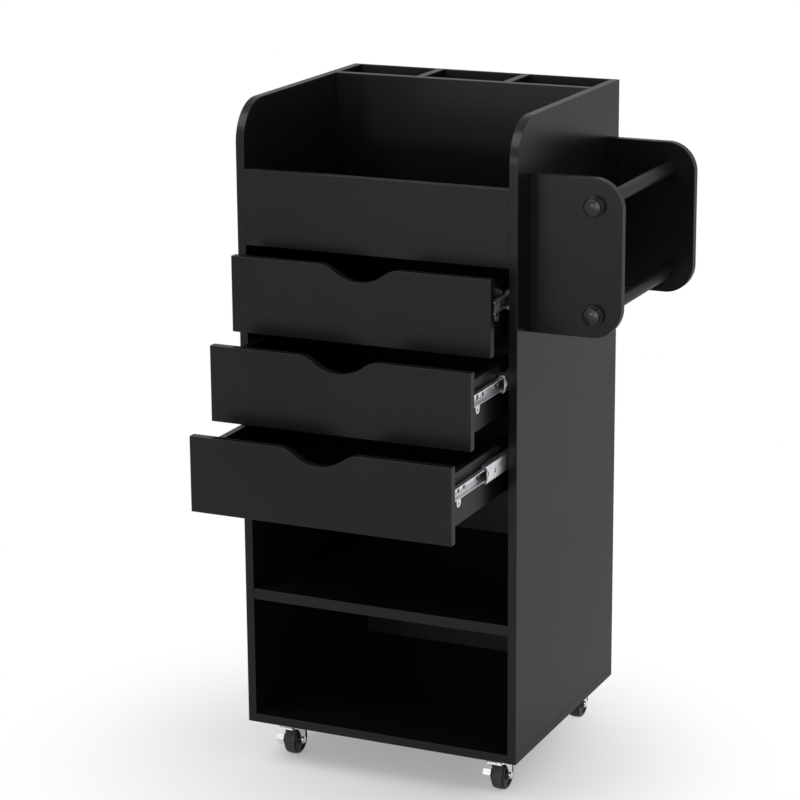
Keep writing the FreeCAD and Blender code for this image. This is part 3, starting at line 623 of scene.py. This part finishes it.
# Slide members: a folded strip along Y. Across it run lip, flange with a ball groove (a squared sine),
# round fold, web, fold, flange and lip. Holes are rings of quads between a cell of the grid and the
# outline |y/a|^n + |z/b|^n = 1, each (place along, a, b, n) in millimetres. web and lip are distances from
# the side panel's inner face.
slide = {"sheet": 1.1 * mm, "fold": 2.2 * mm, "groove": 0.9 * mm, "edge": 0.12 * mm, "flangeSteps": 8,
         "webSteps": 6, "cellSteps": 6, "fillSteps": 10, "holeMargin": 1.5 * mm, "lipCut": 2.5 * mm,
         "lipReach": 12 * mm, "lipPower": 3, "webShare": 0.02}
members = {
    "drawer_slides": {"web": 12.45 * mm, "lip": 4.6 * mm, "half": 8.0 * mm, "notch": 0.0, "rise": -1.4 * mm,
                      "body": "drawer",
                      "holes": [(28, 2.8, 3.1, 4), (46, 3.3, 2.7, 2), (90, 5, 2.1, 4), (128, 2.2, 2.2, 2),
                                (170, 5, 2.1, 4), (214, 2.2, 2.2, 2), (262, 5, 2.1, 4)]},
    "middle_slides": {"web": 2.45 * mm, "lip": 11.3 * mm, "half": 12.1 * mm, "notch": 9 * mm, "rise": 0.0,
                      "body": "slide_middle",
                      "holes": [(27, 5, 2.8, 4), (110, 7, 3, 4), (170, 7, 3, 4), (235, 4, 4, 2)]},
    "cabinet_slides": {"web": 0.55 * mm, "lip": 10.0 * mm, "half": 13.5 * mm, "notch": 0.0, "rise": 0.0,
                       "holes": [(14, 2.4, 2.4, 2), (32, 4.5, 2.4, 4), (96, 8, 4.5, 4), (140, 2.4, 2.4, 2),
                                 (200, 8, 4.5, 4), (264, 4.5, 2.4, 4)]},
}
ear = {"setback": 29.5 * mm, "half": 6.5 * mm, "drop": 23.5 * mm, "top": 7.2 * mm, "hole": 1.7 * mm,
       "holeRise": 4.6 * mm, "squareness": 6.0, "roundness": 2.6, "steps": 32, "ringSteps": 3}


# (across, height) from the upper lip to the lower one, and the web's first column
def stripSection(member):
    half = member["half"] - slide["sheet"] / 2
    inward = np.sign(member["lip"] - member["web"])
    start = member["web"] + inward * slide["fold"]
    share = np.linspace(1, 0, slide["flangeSteps"] + 1)[:-1]
    flange = [(start + (member["lip"] - start) * s, half - slide["groove"] * np.sin(np.pi * s) ** 2)
              for s in share]
    flange += corner((start, half), (member["web"], half), (member["web"], half - slide["fold"]))
    heights = np.linspace(1, -1, slide["webSteps"] + 1)[1:-1] * (half - slide["fold"])
    web = [(member["web"], z) for z in heights]
    section = flange + web + [(x, -z) for x, z in reversed(flange)]
    return np.array(section), len(flange) - 1


# rows along the strip, evenly spread between the holes and over each hole's cell
def layStations(begin, end, holes):
    rows, cells = [begin], []
    for at, long, high, power in holes:
        reach = max(long, high) * mm + slide["holeMargin"]
        rows += list(np.linspace(rows[-1], begin + at * mm - reach, slide["fillSteps"] + 1)[1:])
        cells.append(len(rows) - 1)
        rows += list(np.linspace(rows[-1], begin + at * mm + reach, slide["cellSteps"] + 1)[1:])
    rows += list(np.linspace(rows[-1], end, slide["fillSteps"] + 1)[1:])
    return np.array(rows), cells


def stripPart(member, begin, end, height, wall, side):
    section, first = stripSection(member)
    rows, cells = layStations(begin, end, member["holes"])
    count = len(section)
    points = np.zeros((len(rows), count, 3))
    points[..., 0], points[..., 1], points[..., 2] = section[:, 0], rows[:, None], section[:, 1]
    points = points.reshape(-1, 3)
    faces = gridFaces(len(rows), count)
    kept = np.ones((len(rows) - 1, count - 1), bool)
    rings = []
    for cell, (at, long, high, power) in zip(cells, member["holes"]):
        wide, tall = slide["cellSteps"], slide["webSteps"]
        kept[cell:cell + wide, first:first + tall] = False
        loop = [(cell + i, first) for i in range(wide)]
        loop += [(cell + wide, first + j) for j in range(tall)]
        loop += [(cell + wide - i, first + tall) for i in range(wide)]
        loop += [(cell, first + tall - j) for j in range(tall)]
        outer = np.array([r * count + c for r, c in loop])
        middle = np.array([member["web"], begin + at * mm, member["rise"]])
        spoke = points[outer] - middle
        size = abs(spoke[:, 1] / (long * mm)) ** power + abs(spoke[:, 2] / (high * mm)) ** power
        size = size ** (1 / power)
        inner = np.arange(len(loop)) + len(points)
        points = np.concatenate([points, middle + spoke / size[:, None]])
        rings.append(np.stack([outer, np.roll(outer, -1), np.roll(inner, -1), inner], axis=-1))
    faces = np.concatenate([faces[kept.ravel()]] + rings)
    fade = np.clip(1 - (points[:, 1] - begin) / (2 * slide["lipReach"]), 0, 1)
    bow = np.cos(np.pi / 2 * np.clip(points[:, 2] / (member["half"] - slide["fold"]), -1, 1)) ** 2
    lipward = np.clip(abs(points[:, 0] - member["web"]) / abs(member["lip"] - member["web"]), 0, 1)
    onWeb = lipward < slide["webShare"]
    points[:, 1] += fade * (member["notch"] * bow * onWeb + slide["lipCut"] * lipward ** slide["lipPower"])
    points[:, 0] = wall + side * points[:, 0]
    points[:, 2] += height
    return points, faces


def earPart(begin, height, wall, side):  # a tongue, square above and round below, with a hole near its tip
    angle = np.arange(ear["steps"]) * 2 * np.pi / ear["steps"]
    across, up = np.cos(angle), np.sin(angle)
    low, high = height - ear["drop"], height - ear["top"]
    middle, tall = (low + high) / 2, (high - low) / 2
    power = np.where(up > 0, ear["squareness"], ear["roundness"])
    size = (abs(across) ** power + abs(up) ** power) ** (-1 / power)
    outline = np.stack([across * size * ear["half"], middle + up * size * tall], axis=-1)
    hole = np.stack([across * ear["hole"], low + ear["holeRise"] + up * ear["hole"]], axis=-1)
    rows = np.stack([outline + (hole - outline) * s for s in np.linspace(0, 1, ear["ringSteps"] + 1)])
    points = np.zeros((*rows.shape[:2], 3))
    points[..., 0] = wall + side * members["drawer_slides"]["web"]
    points[..., 1] = begin + ear["setback"] + rows[..., 0]
    points[..., 2] = rows[..., 1]
    return points.reshape(-1, 3), gridFaces(len(rows), len(angle), True)


def makeSlides():
    walls = (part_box("left_side_panel")[1][0], 1.0), (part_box("right_side_panel")[0][0], -1.0)
    fixed = []
    for drawer in ("upper", "middle", "lower"):
        height = boxMiddle(drawer + "_middle_slides")[2]
        for kind in ("drawer_slides", "middle_slides"):
            name = drawer + "_" + kind
            begin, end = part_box(name)[0][1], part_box(name)[1][1]
            parts = [stripPart(members[kind], begin, end, height, *wall) for wall in walls]
            if kind == "drawer_slides":
                parts += [earPart(begin, height, *wall) for wall in walls]
            body = drawer + "_" + members[kind]["body"]
            makePiece(drawer + "_rolled_" + kind, parts, body, stripZinc, [name],
                      slide["sheet"], slide["edge"])
        begin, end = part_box("cabinet_slides")[0][1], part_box("cabinet_slides")[1][1]
        fixed += [stripPart(members["cabinet_slides"], begin, end, height, *wall) for wall in walls]
    makePiece("rolled_cabinet_slides", fixed, "carcass", stripZinc, ["cabinet_slides"],
              slide["sheet"], slide["edge"])


makeSlides()
print("slides: 7 pieces")


# White floor: lit by the lamps' soft light, plus a painted white glow that camera and gloss rays see. The
# glow is a small share near the cart and grows to full away from it, so the floor whitens away from the cart
# and keeps the lamps' shadow near it.
studio = {"floorReach": 30.0, "floorColour": 0.82, "lift": 0.28, "near": 0.12, "far": 0.57,
          "middle": (-0.1, -0.02), "worldLight": 0.55}


def seenDirectly(start):  # 1 for rays from the camera, from gloss and through glass
    path = {name: start.node("ShaderNodeLightPath", output=name)
            for name in ("Is Camera Ray", "Is Glossy Ray", "Is Transmission Ray")}
    total = path["Is Camera Ray"] + path["Is Glossy Ray"] + path["Is Transmission Ray"]
    return total.maths("MINIMUM", total, 1.0)


def makeFloor():
    reach = studio["floorReach"]
    corners = np.array([(-1, -1, 0), (1, -1, 0), (1, 1, 0), (-1, 1, 0)]) * reach
    mesh = bpy.data.meshes.new("floor")
    mesh.from_pydata(corners.tolist(), [], [(0, 1, 2, 3)])
    floor = bpy.data.objects.new("floor", mesh)
    bpy.context.scene.collection.objects.link(floor)
    material, place = startFinish("paleFloor")
    local = place.centred((*studio["middle"], 0.0))
    away = (local.axis("X") ** 2 + local.axis("Y") ** 2) ** 0.5
    # painted glow: share of full emission, least near the cart and growing with distance from it
    white = away.step(studio["near"], studio["far"]) * (1 - studio["lift"]) + studio["lift"]
    diffuse = place.node("ShaderNodeBsdfDiffuse", {}, {"Color": grey(studio["floorColour"])})
    glow = place.node("ShaderNodeEmission", {}, {"Color": grey(1.0), "Strength": 1.0})
    mixed = place.node("ShaderNodeMixShader", {}, {"Fac": seenDirectly(place) * white, 1: diffuse, 2: glow})
    place.node("ShaderNodeOutputMaterial", {}, {"Surface": mixed})
    mesh.materials.append(material)


def makeWorld():
    world = bpy.data.worlds.new("studio")
    world.use_nodes = True
    world.node_tree.nodes.clear()
    start = Wire(world.node_tree)
    strength = seenDirectly(start) * (1 - studio["worldLight"]) + studio["worldLight"]
    sky = start.node("ShaderNodeBackground", {}, {"Color": grey(1.0), "Strength": strength})
    start.node("ShaderNodeOutputWorld", {}, {"Surface": sky})
    bpy.context.scene.world = world


lamps = {
    "keyLamp": {"place": (-1.1, -1.3, 2.7), "aim": (0.0, 0.0, 0.3), "size": 1.8, "power": 34.0},
    "fillLamp": {"place": (2.2, -0.6, 2.2), "aim": (0.0, 0.0, 0.4), "size": 1.6, "power": 14.0},
    "frontLamp": {"place": (0.7, -3.4, 0.9), "aim": (0.0, 0.0, 0.5), "size": 1.6, "power": 30.0},
    "glintLamp": {"place": (-0.8, -3.26, 0.89), "aim": (0.2, -0.1, 0.65), "size": 0.26, "power": 8.0},
}


def lookAt(place, aim):
    back = np.subtract(place, aim)
    back = back / np.linalg.norm(back)
    across = np.cross((0, 0, 1), back)
    across = across / np.linalg.norm(across)
    return placeMatrix(across, np.cross(back, across), back, place)


def placeMatrix(across, upward, back, place):
    matrix = np.eye(4)
    matrix[:3] = np.stack([across, upward, back, place], axis=1)
    return Matrix(matrix.tolist())


def makeLamps():
    for name, lamp in lamps.items():
        light = bpy.data.lights.new(name, "AREA")
        light.shape = "DISK"
        light.size = lamp["size"]
        light.energy = lamp["power"]
        holder = bpy.data.objects.new(name, light)
        bpy.context.scene.collection.objects.link(holder)
        holder.matrix_world = lookAt(lamp["place"], lamp["aim"])


# The photograph's own viewpoint, found from the straight edges of the boards.
photoView = {"azimuth": 24.666, "elevation": 15.41, "roll": -0.432, "lens": 124.765, "sensor": 36.0,
             "place": (1.432201, -3.275231, 1.513951)}


def makeCamera():
    turn, rise, roll = np.radians([photoView[k] for k in ("azimuth", "elevation", "roll")])
    back = np.array([np.sin(turn) * np.cos(rise), -np.cos(turn) * np.cos(rise), np.sin(rise)])
    level = np.array([np.cos(turn), np.sin(turn), 0.0])
    above = np.cross(back, level)
    across = np.cos(roll) * level + np.sin(roll) * above
    upward = np.cos(roll) * above - np.sin(roll) * level
    lens = bpy.data.cameras.new("photoCamera")
    lens.lens = photoView["lens"]
    lens.sensor_width = photoView["sensor"]
    camera = bpy.data.objects.new("photoCamera", lens)
    bpy.context.scene.collection.objects.link(camera)
    camera.matrix_world = placeMatrix(across, upward, back, photoView["place"])
    bpy.context.scene.camera = camera


bpy.context.scene.view_settings.view_transform = "Standard"
makeFloor()
makeWorld()
makeLamps()
makeCamera()
print("studio: floor, world,", len(lamps), "lamps and camera")
